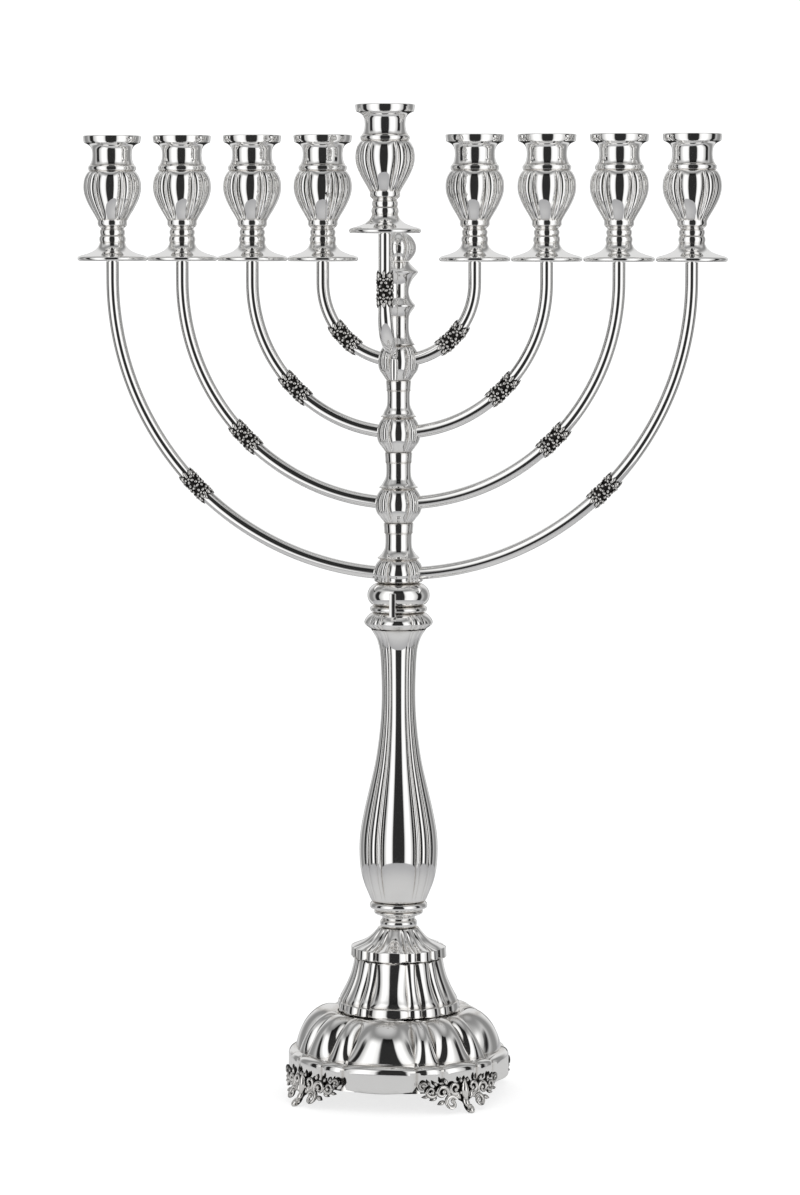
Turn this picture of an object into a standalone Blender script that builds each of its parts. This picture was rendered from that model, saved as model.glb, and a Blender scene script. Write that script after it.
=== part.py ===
"""Nine-branch silver candelabrum on a lobed, footed base.

The base and stem are hollow turned shells clamped by one tie rod. A branch head, with a spigot that
drops into the stem, carries eight quarter-circle arms. A ninth arm hooks into a socket in front of
the column. Every arm ends in a stud for a screw-on candle cup. Lengths are in millimetres, the front
is -Y, the arms spread along X, and the feet stand on Z = 0.
"""

import math

import bmesh
import bpy
from mathutils import Matrix, Vector

MM = 0.001
GAP = 0.3

# Turned and lobed work.
ROUND_STEPS = 20
CUP_STEPS = 16
BASE_LOBES = {"broad": 40.0, "narrow": 14.0, "medium": 22.0}
STEM_LOBES = {"broad": 56.0, "narrow": 8.0, "medium": 18.0}
BROAD_STEPS = 4
MEDIUM_STEPS = 2
MEDIUM_SWELL = 0.6
LOBED_STEPS = 4 * (BROAD_STEPS + MEDIUM_STEPS + 2)
SHELL = 1.5

# Base and feet.
RIM_RADIUS = 67.5
RIM_BOTTOM = 12.0
RIM_TOP = 25.0
DOME_TOP = 51.0
BELL_TOP = 83.8
CAP_TOP = 102.2
FOOT_AZIMUTHS = (45.0, 135.0, 225.0, 315.0)
FOOT_HALF_WIDTH = 29.0
FOOT_HEIGHT = 22.0
FOOT_THICKNESS = 3.0
FOOT_SPLAY = 6.0
TOE_HALF_WIDTH = 5.0

# Rods that hold the stack together.
ROD_RADIUS = 3.0
ROD_BORE = ROD_RADIUS + GAP
TIE_ROD_BOTTOM = 38.0
TIE_ROD_TOP = 261.0
WASHER_RADIUS = 24.0
NUT_RADIUS = 6.5
SPIGOT_RADIUS = 7.0
SPIGOT_BORE = SPIGOT_RADIUS + GAP
SPIGOT_BOTTOM = 265.0
HEAD_ROD_TOP = 492.0

# Stem.
NECK_TOP = 112.7
VASE_BOTTOM = 118.8
VASE_TOP = 285.0
COLLAR_TOP = 295.0
HEAD_BOTTOM = 299.3
KEY_SIZE = (3.8, 2.1, 14.6)
KEY_BOTTOM = 293.4
KEY_FRONT = 21.2

# Column, from the lowest knop to the highest.
KNOP_HEIGHTS = (318.5, 361.3, 404.1, 447.5)
KNOP_RADII = (15.9, 14.7, 13.6, 12.7)
KNOP_ABOVE = 9.0
KNOP_BELOW = 11.8
FERRULE_RADII = (8.8, 8.2, 7.5)
FERRULE_HEIGHT = 6.0
WAIST_RADII = (7.9, 7.4, 6.8)
FINIAL_BOTTOM = 507.3

# Arms.
ARM_RADIUS = 3.9
ARM_REACHES = (177.3, 133.7, 90.1, 46.5)
ARM_TENON_START = 8.3
ARM_TENON_END = 21.0
ARM_STEPS = 3
STUD_RADIUS = 2.9
STUD_LENGTH = 8.0
PAN_HEIGHT = 507.0
SLEEVE_LENGTH = 23.0
SLEEVE_RADIUS = 5.2
SLEEVE_ANGLE = 45.0

# Candle cups.
CUP_HEIGHT = 76.0
CUP_RADIUS = 17.4
PAN_RADIUS = 21.3
CANDLE_RADIUS = 11.0
CANDLE_FLOOR = 38.0

# Front arm.
FRONT_CUP_Y = -43.7
FRONT_PAN_HEIGHT = 524.0
FRONT_ARC_TOP = 480.5
FRONT_ARC_ANGLE = 84.0
FRONT_ARC_STEPS = 7
FRONT_TAPER = 2.2
FRONT_SLEEVE_BOTTOM = 479.5
PRONG_RADIUS = 1.1
PRONG_BOTTOM = 437.0
SOCKET_Y = -15.2
SOCKET_RADIUS = 2.1
SOCKET_BOTTOM = 436.0
SOCKET_TOP = 449.0


def clear_scene():
    for old in list(bpy.data.objects):
        bpy.data.objects.remove(old)


def collection(name):
    group = bpy.data.collections.new(name)
    bpy.context.scene.collection.children.link(group)
    return group


def silver(name, colour, roughness):
    metal = bpy.data.materials.new(name)
    metal.use_nodes = True
    shader = metal.node_tree.nodes["Principled BSDF"]
    shader.inputs["Base Color"].default_value = (*colour, 1.0)
    shader.inputs["Metallic"].default_value = 1.0
    shader.inputs["Roughness"].default_value = roughness
    metal.diffuse_color = (*colour, 1.0)
    return metal


def add(name, data, group, metal=None, at=(0, 0, 0), turn=0.0):
    """Put an object in a group, at a place in millimetres, turned about +Z by degrees."""
    piece = bpy.data.objects.new(name, data)
    piece.location = Vector(at) * MM
    piece.rotation_euler[2] = math.radians(turn)
    group.objects.link(piece)
    if metal:
        data.materials.clear()
        data.materials.append(metal)
    return piece


def smooth(mesh, angle=35.0):
    mesh.shade_smooth()
    mesh.set_sharp_from_angle(angle=math.radians(angle))


def screw_profile(name, outline, steps, closed):
    """A mesh profile of (radius, height) points with a Screw modifier that turns it about Z."""
    mesh = bpy.data.meshes.new(name)
    points = [(r * MM, 0.0, z * MM) for r, z in outline]
    edges = [(i, i + 1) for i in range(len(points) - 1)]
    if closed:
        edges.append((len(points) - 1, 0))
    mesh.from_pydata(points, edges, [])
    profile = bpy.data.objects.new(name, mesh)
    bpy.context.scene.collection.objects.link(profile)
    screw = profile.modifiers.new("Turn", "SCREW")
    screw.axis = "Z"
    screw.steps = steps
    screw.render_steps = steps
    screw.use_merge_vertices = True
    screw.merge_threshold = 0.00001
    return profile


def applied(piece):
    """The piece's mesh with its modifiers applied; the piece itself is removed."""
    bpy.context.view_layer.update()
    graph = bpy.context.evaluated_depsgraph_get()
    mesh = bpy.data.meshes.new_from_object(piece.evaluated_get(graph))
    mesh.name = piece.name
    bpy.data.objects.remove(piece)
    return mesh


def turned(name, outline, steps=ROUND_STEPS):
    """A turned mesh. The outline runs down the outer side, and closes on itself off the axis."""
    closed = outline[0][0] > 0
    mesh = applied(screw_profile(name, outline, steps, closed))
    smooth(mesh)
    return mesh


def lobe_angles(widths):
    """The azimuths, in degrees, of one quarter's lobe vertices, and how deep each one lies."""
    broad, narrow, medium = widths["broad"], widths["narrow"], widths["medium"]
    rows = []
    for i in range(BROAD_STEPS):
        part = i / BROAD_STEPS
        rows.append((broad * (part - 0.5), 1.0 - math.sin(math.pi * part)))
    rows.append((broad / 2, 1.0))
    for i in range(MEDIUM_STEPS + 1):
        part = i / MEDIUM_STEPS
        rows.append((broad / 2 + narrow + medium * part, 1.0 - MEDIUM_SWELL * math.sin(math.pi * part)))
    return rows


def lobed(name, outline, widths, depth, lobe_span):
    """A turned mesh whose outer side is pressed into broad and medium lobes.

    depth is a part of the radius, and lobe_span the two heights between which it is full.
    """
    mesh = turned(name, outline, LOBED_STEPS)
    quarter = lobe_angles(widths)
    low, high = lobe_span
    top = max(z for _, z in outline)
    bottom = min(z for _, z in outline)
    widest_bore = (SPIGOT_BORE + 0.2) * MM
    for vertex in mesh.vertices:
        x, y, z = vertex.co
        radius = math.hypot(x, y)
        step = round(math.atan2(y, x) / (2 * math.pi) * LOBED_STEPS) % LOBED_STEPS
        turn, row = divmod(step, len(quarter))
        azimuth, dip = quarter[row]
        height = z / MM
        fade = 1.0
        if height > high:
            fade = max(0.0, 1.0 - (height - high) / max(top - high, 0.1))
        if height < low:
            fade = max(0.0, 1.0 - (low - height) / max(low - bottom, 0.1))
        if radius > widest_bore:
            radius *= 1.0 - depth * dip * fade
        angle = math.radians(90.0 * turn + azimuth)
        vertex.co.x = radius * math.cos(angle)
        vertex.co.y = radius * math.sin(angle)
    smooth(mesh)
    return mesh


def shell(outer):
    """Close an outer profile into a hollow shell with an open bottom and a bored top."""
    top = outer[0][1]
    inner = [(r - SHELL, z - SHELL * 0.6) for r, z in outer[2:-1]]
    inner = [(outer[-1][0] - SHELL, outer[-1][1])] + inner[::-1]
    inner = [point for point in inner if point[0] > ROD_BORE + 1.0]
    inner = [(r, min(z, top - SHELL)) for r, z in inner]
    return [(ROD_BORE, top)] + outer[1:] + inner + [(ROD_BORE, top - SHELL)]


def dome_mesh():
    ledge = [(RIM_RADIUS - 0.7, 26.4), (64.4, 28.4), (62.9, 29.6)]
    crest = [(62.0, 33.6), (60.2, 38.6), (57.4, 43.8), (53.6, 48.0), (49.2, 50.9), (44.6, 52.4)]
    crest += [(39.2, DOME_TOP)]
    outer = [(ROD_BORE, DOME_TOP)] + crest[::-1] + ledge[::-1]
    outer += [(RIM_RADIUS, RIM_TOP), (RIM_RADIUS, RIM_BOTTOM)]
    inner = [(RIM_RADIUS - 3, RIM_BOTTOM), (RIM_RADIUS - 3.6, 23.0), (60.0, 28.5)]
    inner += [(58.0, 36.5), (51.5, 46.0), (44.5, 49.8), (36.0, DOME_TOP - 2), (ROD_BORE, DOME_TOP - 2)]
    return lobed("base_dome", outer + inner, BASE_LOBES, 0.045, (RIM_BOTTOM, 50.0))


def bell_mesh():
    foot = DOME_TOP + GAP
    collar = [(36.5, 57.4), (37.7, 56.6), (37.7, foot)]
    body = [(27.1, BELL_TOP), (28.0, 78.0), (30.5, 69.8), (33.7, 63.7), (36.0, 58.6)]
    outer = shell([(ROD_BORE, BELL_TOP)] + body + collar)
    return lobed("base_bell", outer, BASE_LOBES, 0.05, (foot, BELL_TOP))


def cap_mesh():
    foot = BELL_TOP + GAP
    cone = [(12.1, CAP_TOP), (15.0, 98.8), (19.6, 95.0), (26.8, 91.5), (29.3, 90.3)]
    outer = shell([(ROD_BORE, CAP_TOP)] + cone + [(29.3, foot)])
    return lobed("base_cap", outer, BASE_LOBES, 0.05, (foot, 92.0))


def neck_outline():
    foot = CAP_TOP + GAP
    ring = [(10.4, 106.6), (11.0, 105.4), (11.0, foot)]
    step = [(14.7, NECK_TOP), (14.7, 110.6), (11.0, 109.8), (9.8, 108.6)]
    return [(ROD_BORE, NECK_TOP)] + step + ring + [(ROD_BORE, foot)]


def vase_ring_outline():
    foot = NECK_TOP + GAP
    top = VASE_BOTTOM - GAP
    return [(ROD_BORE, top), (16.4, top), (17.3, top - 1.2), (17.3, foot + 1.2), (16.4, foot),
            (ROD_BORE, foot)]


def vase_mesh():
    outer = [(SPIGOT_BORE, VASE_TOP), (16.8, VASE_TOP), (14.2, 279.8), (11.6, 269.5), (10.2, 249.0),
             (10.4, 236.0), (11.9, 217.8), (14.1, 203.2), (17.4, 188.7), (20.7, 174.1),
             (23.4, 160.0), (23.75, 150.0), (22.9, 137.7), (21.1, 130.4), (18.2, 123.0),
             (16.6, VASE_BOTTOM)]
    inner = [(ROD_BORE, VASE_BOTTOM), (ROD_BORE, 122.0), (15.5, 124.0), (20.4, 141.0), (20.8, 158.0),
             (14.5, 188.0), (8.3, 214.0), (ROD_BORE, 232.0), (ROD_BORE, 262.0), (SPIGOT_BORE, 262.0)]
    return lobed("stem_vase", outer + inner, STEM_LOBES, 0.07, (132.0, 278.0))


def top_collar_mesh():
    foot = VASE_TOP + GAP
    outer = [(SPIGOT_BORE, COLLAR_TOP), (16.6, COLLAR_TOP), (18.4, 293.4), (20.3, 290.6),
             (20.7, 288.8), (18.6, foot), (SPIGOT_BORE, foot)]
    return lobed("stem_top_collar", outer, STEM_LOBES, 0.05, (foot, 291.0))


def head_ring_outline():
    foot = COLLAR_TOP + GAP
    top = HEAD_BOTTOM - GAP
    return [(SPIGOT_BORE, top), (16.2, top), (17.2, (foot + top) / 2), (16.2, foot),
            (SPIGOT_BORE, foot)]


def cushion_outline():
    top = KNOP_HEIGHTS[0] - KNOP_ABOVE + 3.2
    return [(ROD_BORE, top), (13.6, top), (16.6, top - 1.4), (18.4, top - 4.4), (18.8, top - 7.0),
            (18.2, top - 9.6), (16.2, HEAD_BOTTOM), (SPIGOT_BORE, HEAD_BOTTOM),
            (SPIGOT_BORE, HEAD_BOTTOM + 2), (ROD_BORE, HEAD_BOTTOM + 2)]


def knop_outline(index):
    middle = KNOP_HEIGHTS[index]
    r = KNOP_RADII[index]
    below = KNOP_BELOW if index else 5.5
    low = 0.62 if index else 0.85
    return [(ROD_BORE, middle + KNOP_ABOVE), (0.78 * r, middle + KNOP_ABOVE),
            (0.93 * r, middle + 5.0), (r, middle), (0.94 * r, middle - 0.45 * below),
            (low * r, middle - below), (ROD_BORE, middle - below)]


def neck_tube_outline(index):
    """The flared tube between a knop and the next one up, with its ferrule at the top."""
    foot = KNOP_HEIGHTS[index] + KNOP_ABOVE + GAP
    top = KNOP_HEIGHTS[index + 1] - KNOP_BELOW - GAP
    ferrule = FERRULE_RADII[index]
    waist = WAIST_RADII[index]
    shoulder = 0.82 * KNOP_RADII[index]
    return [(ROD_BORE, top), (ferrule - 0.4, top), (ferrule, top - FERRULE_HEIGHT),
            (waist, top - FERRULE_HEIGHT - 2.0), (waist, top - 10.0), (waist + 1.6, foot + 5.0),
            (shoulder, foot + 0.8), (shoulder - 0.8, foot), (ROD_BORE, foot)]


def spindle_outline():
    """The slender tube above the highest knop, with two cone knops and a blind bore."""
    foot = KNOP_HEIGHTS[3] + KNOP_ABOVE + GAP
    top = FINIAL_BOTTOM - GAP
    outer = [(0.0, top), (6.6, top), (7.4, 505.2), (11.8, 500.8), (7.4, 494.5), (6.1, 489.0),
             (10.0, 480.5), (6.8, 476.5), (6.2, 466.5), (8.2, 459.6), (9.8, foot)]
    return outer + [(ROD_BORE, foot), (ROD_BORE, HEAD_ROD_TOP + 1), (0.0, HEAD_ROD_TOP + 1)]


def finial_outline():
    foot = FINIAL_BOTTOM
    return [(0.0, 525.0), (5.0, 523.6), (9.0, 520.2), (10.6, 515.0), (9.4, 511.0), (6.6, foot), (0.0, foot)]


def cup_outline():
    """The candle cup from its socket floor, over the rim, down to the pan and the stud hole."""
    socket = [(0.0, CANDLE_FLOOR), (CANDLE_RADIUS, CANDLE_FLOOR), (CANDLE_RADIUS, CUP_HEIGHT)]
    body = [(CUP_RADIUS, CUP_HEIGHT), (CUP_RADIUS, 72.0), (13.8, 67.5), (13.05, 62.0), (14.75, 56.0),
            (17.75, 45.5), (15.5, 36.0), (10.2, 26.4), (9.2, 22.4), (7.15, 18.0), (8.3, 13.0),
            (10.6, 8.1), (13.0, 5.6)]
    pan = [(PAN_RADIUS - 0.6, 3.2), (PAN_RADIUS, 1.6), (PAN_RADIUS - 0.6, 0.0)]
    hole = STUD_RADIUS + GAP
    stud_hole = [(hole, 0.0), (hole, STUD_LENGTH + GAP), (0.0, STUD_LENGTH + GAP)]
    return socket + body + pan + stud_hole


def sleeve_outline():
    bore = ARM_RADIUS + GAP
    half = SLEEVE_LENGTH / 2
    side = [(bore + 0.6, half), (SLEEVE_RADIUS, half - 2.4), (SLEEVE_RADIUS - 0.5, 0.0)]
    lower = [(r, -z) for r, z in side[-2::-1]]
    return [(bore, half)] + side + lower + [(bore, -half), (bore, 0.0)]


def bent_sleeve_mesh(reach):
    """A sleeve bent to an arm's arc, about the arc's centre, at its place on the +X arm."""
    mesh = turned("arm_sleeve", sleeve_outline(), 12)
    for vertex in mesh.vertices:
        across, y, along = vertex.co
        turn = math.radians(SLEEVE_ANGLE) + along / (reach * MM)
        radius = reach * MM + across
        vertex.co = Vector((radius * math.sin(turn), y, -radius * math.cos(turn)))
    return mesh


def tube(name, points, radii):
    """A round bar along points in millimetres, with its own radius at each point."""
    curve = bpy.data.curves.new(name, "CURVE")
    curve.dimensions = "3D"
    curve.bevel_depth = MM
    curve.bevel_resolution = 2
    curve.use_fill_caps = True
    spline = curve.splines.new("POLY")
    spline.points.add(len(points) - 1)
    for knot, place, radius in zip(spline.points, points, radii):
        knot.co = (*(Vector(place) * MM), 1.0)
        knot.radius = radius
    return curve


def spaced(start, end):
    return [start + (end - start) * i / ARM_STEPS for i in range(ARM_STEPS + 1)]


def arm_place(index, turn):
    """A point of the +X arm's arc, at an angle from straight below the arc's centre."""
    reach = ARM_REACHES[index]
    return reach * math.sin(turn), 0.0, KNOP_HEIGHTS[index] + reach * (1.0 - math.cos(turn))


def arm_curve(index):
    """One +X arm: a tenon in its knop, a quarter circle, then a shoulder and a stud for the cup.

    It has a point at each ring of its sleeve's bore, so that the two bend alike.
    """
    reach = ARM_REACHES[index]
    middle = math.radians(SLEEVE_ANGLE)
    half_sleeve = SLEEVE_LENGTH / 2 / reach
    turns = [math.asin(ARM_TENON_START / reach)]
    turns += spaced(math.asin(ARM_TENON_END / reach), middle - half_sleeve)
    turns.append(middle)
    turns += spaced(middle + half_sleeve, math.pi / 2)
    points = [arm_place(index, turn) for turn in turns]
    shoulder = PAN_HEIGHT - GAP
    points += [(reach, 0.0, shoulder - 0.1), (reach, 0.0, shoulder), (reach, 0.0, PAN_HEIGHT + STUD_LENGTH)]
    radii = [ARM_RADIUS] * (len(turns) + 1) + [STUD_RADIUS] * 2
    return tube("arm", points, radii)


def front_arm_curve():
    """The front arm: stud, straight run, quarter circle back to the column, then its prong."""
    shoulder = FRONT_PAN_HEIGHT - GAP
    points = [(0.0, FRONT_CUP_Y, FRONT_PAN_HEIGHT + STUD_LENGTH), (0.0, FRONT_CUP_Y, shoulder),
              (0.0, FRONT_CUP_Y, shoulder - 0.1)]
    radii = [STUD_RADIUS, STUD_RADIUS, ARM_RADIUS]
    reach = SOCKET_Y - FRONT_CUP_Y
    for i in range(FRONT_ARC_STEPS + 1):
        part = i / FRONT_ARC_STEPS
        turn = math.radians(FRONT_ARC_ANGLE) * part
        points.append((0.0, SOCKET_Y - reach * math.cos(turn), FRONT_ARC_TOP - reach * math.sin(turn)))
        radii.append(ARM_RADIUS - FRONT_TAPER * part ** 2)
    floor = FRONT_ARC_TOP - reach
    points += [(0.0, SOCKET_Y - 0.6, floor - 0.7), (0.0, SOCKET_Y, floor - 2.2), (0.0, SOCKET_Y, PRONG_BOTTOM)]
    radii += [1.4, PRONG_RADIUS, PRONG_RADIUS]
    return tube("shamash_arm", points, radii)


def foot_low(offset):
    """The lower edge of a foot at a distance from its middle: a flat toe, then a rising wing."""
    away = abs(offset)
    if away <= TOE_HALF_WIDTH:
        return 0.0
    if away <= 2 * TOE_HALF_WIDTH:
        return 7.0 * (away / TOE_HALF_WIDTH - 1.0)
    return 7.0 + 4.5 * (away - 2 * TOE_HALF_WIDTH) / (FOOT_HALF_WIDTH - 2 * TOE_HALF_WIDTH)


def foot_high(offset):
    """The upper edge of a foot: a crest in the middle, a wave, and a low curl at the wing's tip."""
    part = abs(offset) / FOOT_HALF_WIDTH
    return FOOT_HEIGHT - 5.0 * part * part - 1.2 * math.sin(2 * math.pi * part) ** 2


def foot_mesh():
    """A cast foot wrapped round the rim, with its toe splayed out, facing +X before it is turned."""
    mesh = bpy.data.meshes.new("foot")
    shape = bmesh.new()
    bmesh.ops.create_grid(shape, x_segments=12, y_segments=4, size=1.0)
    back = RIM_RADIUS + GAP
    for vertex in shape.verts:
        offset = vertex.co.x * FOOT_HALF_WIDTH
        low, high = foot_low(offset), foot_high(offset)
        height = low + (high - low) * (vertex.co.y + 1) / 2
        turn = offset / back
        splay = FOOT_SPLAY * max(0.0, 1.0 - height / RIM_BOTTOM) ** 1.5
        radius = back + splay
        vertex.co = Vector((radius * math.cos(turn), radius * math.sin(turn), height)) * MM
    front = bmesh.ops.extrude_face_region(shape, geom=shape.faces[:])["geom"]
    for vertex in (part for part in front if isinstance(part, bmesh.types.BMVert)):
        level = Vector((vertex.co.x, vertex.co.y, 0.0))
        vertex.co += level.normalized() * FOOT_THICKNESS * MM
    bmesh.ops.recalc_face_normals(shape, faces=shape.faces)
    shape.to_mesh(mesh)
    shape.free()
    smooth(mesh, 50.0)
    return mesh


def box_mesh(name, size):
    mesh = bpy.data.meshes.new(name)
    shape = bmesh.new()
    bmesh.ops.create_cube(shape, size=MM, matrix=Matrix.Diagonal((*size, 1.0)))
    bmesh.ops.bevel(shape, geom=shape.edges[:], offset=0.4 * MM, segments=1, profile=0.5, affect="EDGES")
    shape.to_mesh(mesh)
    shape.free()
    return mesh


def ring_outline(outer, inner, bottom, top):
    return [(inner, top), (outer, top), (outer, bottom), (inner, bottom)]


def head_rod_outline():
    shoulder = HEAD_BOTTOM + 2 - GAP
    return [(0.0, HEAD_ROD_TOP), (ROD_RADIUS, HEAD_ROD_TOP), (ROD_RADIUS, shoulder),
            (SPIGOT_RADIUS, shoulder), (SPIGOT_RADIUS, SPIGOT_BOTTOM), (0.0, SPIGOT_BOTTOM)]


def tenon_hole_mesh(index):
    """A closed cutter along the +X arm's tenon, a little longer and wider than it."""
    inner, outer = (Vector(arm_place(index, math.asin(x / ARM_REACHES[index])))
                    for x in (ARM_TENON_START, ARM_TENON_END))
    inner -= (outer - inner).normalized() * GAP
    curve = tube("tenon_hole", [inner, outer], [ARM_RADIUS + GAP] * 2)
    mesh = applied(add("tenon_hole", curve, bpy.context.scene.collection))
    shape = bmesh.new()
    shape.from_mesh(mesh)
    bmesh.ops.remove_doubles(shape, verts=shape.verts, dist=0.01 * MM)
    bmesh.ops.recalc_face_normals(shape, faces=shape.faces)
    shape.to_mesh(mesh)
    shape.free()
    return mesh


def drill_arm_holes(knop, index, cutters):
    """Cut the two tenon holes, one for each arm, into a knop."""
    mesh = tenon_hole_mesh(index)
    for side, turn in (("right", 0.0), ("left", 180.0)):
        cutter = add(f"cut_{knop.name}_{side}", mesh, cutters, turn=turn)
        cutter.hide_render = True
        cutter.display_type = "WIRE"
        hole = knop.modifiers.new(cutter.name, "BOOLEAN")
        hole.operation = "DIFFERENCE"
        hole.solver = "EXACT"
        hole.object = cutter


def build_base(parts, metals):
    polished, cast, steel = metals["polished"], metals["oxidised"], metals["steel"]
    add("base_dome", dome_mesh(), parts, polished)
    foot = foot_mesh()
    for number, azimuth in enumerate(FOOT_AZIMUTHS, 1):
        add(f"foot_{number}", foot, parts, cast, turn=azimuth)
    add("base_bell", bell_mesh(), parts, polished)
    add("base_cap", cap_mesh(), parts, polished)
    add("neck_ring", turned("neck_ring", neck_outline()), parts, polished)
    add("vase_ring", turned("vase_ring", vase_ring_outline()), parts, polished)
    washer_top = DOME_TOP - 2 - GAP
    washer = ring_outline(WASHER_RADIUS, ROD_BORE, washer_top - 1.5, washer_top)
    add("base_washer", turned("base_washer", washer), parts, steel)
    nut_top = washer_top - 1.5 - GAP
    nut = ring_outline(NUT_RADIUS, ROD_BORE / math.cos(math.pi / 6), nut_top - 5.0, nut_top)
    add("base_nut", turned("base_nut", nut, 6), parts, steel)
    rod = [(0.0, TIE_ROD_TOP), (ROD_RADIUS, TIE_ROD_TOP), (ROD_RADIUS, TIE_ROD_BOTTOM), (0.0, TIE_ROD_BOTTOM)]
    add("tie_rod", turned("tie_rod", rod, 12), parts, steel)


def build_stem(parts, metals):
    polished = metals["polished"]
    add("stem_vase", vase_mesh(), parts, polished)
    add("stem_top_collar", top_collar_mesh(), parts, polished)
    add("head_ring", turned("head_ring", head_ring_outline()), parts, polished)


def build_column(parts, cutters, metals):
    polished = metals["polished"]
    add("head_rod", turned("head_rod", head_rod_outline(), 12), parts, metals["steel"])
    add("cushion_knop", turned("cushion_knop", cushion_outline()), parts, polished)
    key_middle = (0.0, KEY_SIZE[1] / 2 - KEY_FRONT, KEY_BOTTOM + KEY_SIZE[2] / 2)
    add("front_key", box_mesh("front_key", KEY_SIZE), parts, polished, at=key_middle)
    for index in range(len(KNOP_HEIGHTS)):
        name = f"knop_{index + 1}"
        knop = add(name, turned(name, knop_outline(index)), parts, polished)
        drill_arm_holes(knop, index, cutters)
    for index in range(len(WAIST_RADII)):
        name = f"neck_tube_{index + 1}"
        add(name, turned(name, neck_tube_outline(index), CUP_STEPS), parts, polished)
    add("spindle", turned("spindle", spindle_outline(), CUP_STEPS), parts, polished)
    add("finial", turned("finial", finial_outline(), CUP_STEPS), parts, polished)
    socket = ring_outline(SOCKET_RADIUS, PRONG_RADIUS + GAP, SOCKET_BOTTOM, SOCKET_TOP)
    add("shamash_socket", turned("shamash_socket", socket, 12), parts, polished, at=(0.0, SOCKET_Y, 0.0))


def build_arms(parts, metals):
    for index, reach in enumerate(ARM_REACHES):
        curve = arm_curve(index)
        sleeve = bent_sleeve_mesh(reach)
        centre = (0.0, 0.0, KNOP_HEIGHTS[index] + reach)
        for side, turn in (("right", 0.0), ("left", 180.0)):
            name = f"{side}_{index + 1}"
            add(f"arm_{name}", curve, parts, metals["polished"], turn=turn)
            add(f"sleeve_{name}", sleeve, parts, metals["oxidised"], at=centre, turn=turn)


def build_front_arm(parts, metals):
    add("shamash_arm", front_arm_curve(), parts, metals["polished"])
    middle = (0.0, FRONT_CUP_Y, FRONT_SLEEVE_BOTTOM + SLEEVE_LENGTH / 2)
    sleeve = turned("shamash_sleeve", sleeve_outline(), 12)
    add("shamash_sleeve", sleeve, parts, metals["oxidised"], at=middle)


def build_cups(parts, metals):
    """One cup on each arm's end, with its origin on the stud's axis, where it turns."""
    cup = turned("cup", cup_outline(), CUP_STEPS)
    for index, reach in enumerate(ARM_REACHES):
        add(f"cup_right_{index + 1}", cup, parts, metals["polished"], at=(reach, 0.0, PAN_HEIGHT))
        add(f"cup_left_{index + 1}", cup, parts, metals["polished"], at=(-reach, 0.0, PAN_HEIGHT))
    add("cup_shamash", cup, parts, metals["polished"], at=(0.0, FRONT_CUP_Y, FRONT_PAN_HEIGHT))


def main():
    clear_scene()
    parts = collection("candelabrum")
    cutters = collection("cutters")
    metals = {
        "polished": silver("polished_silver", (0.82, 0.81, 0.80), 0.08),
        "oxidised": silver("oxidised_silver", (0.34, 0.33, 0.32), 0.35),
        "steel": silver("plain_steel", (0.5, 0.5, 0.5), 0.4),
    }
    build_base(parts, metals)
    build_stem(parts, metals)
    build_column(parts, cutters, metals)
    build_arms(parts, metals)
    build_front_arm(parts, metals)
    build_cups(parts, metals)


main()
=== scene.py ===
# %% [markdown]
# # A nine-branch silver candelabrum
#
# The real object is about two dozen kinds of turned, fluted and cast silver pieces, threaded on two
# rods. Polished silver shows no colour of its own: it shows the room, bent by its shape. So every
# piece here is turned much finer than a painted one would need to be, and the studio around it is
# part of the work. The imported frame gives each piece's place and size.

# %% The frame
import math

import bmesh
import bpy
from mathutils import Matrix, Vector


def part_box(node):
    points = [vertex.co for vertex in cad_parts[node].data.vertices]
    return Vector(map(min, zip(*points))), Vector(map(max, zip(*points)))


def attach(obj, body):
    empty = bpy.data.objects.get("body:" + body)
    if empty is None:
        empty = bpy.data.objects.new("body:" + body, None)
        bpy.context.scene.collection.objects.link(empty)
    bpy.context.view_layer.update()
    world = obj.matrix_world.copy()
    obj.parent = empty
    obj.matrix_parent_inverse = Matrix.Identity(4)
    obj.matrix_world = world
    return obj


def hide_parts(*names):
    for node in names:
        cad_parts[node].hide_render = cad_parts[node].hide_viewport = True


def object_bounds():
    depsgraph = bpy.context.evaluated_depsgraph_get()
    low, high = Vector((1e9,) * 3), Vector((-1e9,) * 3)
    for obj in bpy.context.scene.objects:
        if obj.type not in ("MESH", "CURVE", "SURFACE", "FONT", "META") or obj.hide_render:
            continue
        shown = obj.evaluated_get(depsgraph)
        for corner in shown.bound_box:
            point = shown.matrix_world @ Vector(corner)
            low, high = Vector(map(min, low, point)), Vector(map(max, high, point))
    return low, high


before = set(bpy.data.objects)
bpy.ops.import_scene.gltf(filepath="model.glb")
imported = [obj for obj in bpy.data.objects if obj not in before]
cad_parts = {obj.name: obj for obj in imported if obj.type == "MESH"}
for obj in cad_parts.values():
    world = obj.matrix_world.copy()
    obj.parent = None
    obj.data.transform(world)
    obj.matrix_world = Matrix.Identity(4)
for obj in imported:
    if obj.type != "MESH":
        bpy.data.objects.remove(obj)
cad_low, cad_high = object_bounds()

MM = 0.001
height = cad_high.z - cad_low.z
print(f"frame: {len(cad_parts)} nodes, {height / MM:.0f} mm high")

# %% [markdown]
# ## Outlines
#
# A turner works from a drawn half section. A few points are enough if the line between them is a
# smooth one, so each outline here is a short list, read through a centripetal Catmull-Rom curve, which
# doesn't bulge where a long gap meets a short one. A point marked as a corner breaks the curve and
# leaves a crisp edge, as a turning tool does. The third number of a point is how deep the lobes are
# pressed there; it is negative on an inner wall, which faces the other way.


# %% Smooth outlines
CORNER = "corner"


def point(radius, level, depth=0.0, corner=None):
    return Vector((radius, level, depth)), corner


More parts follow.
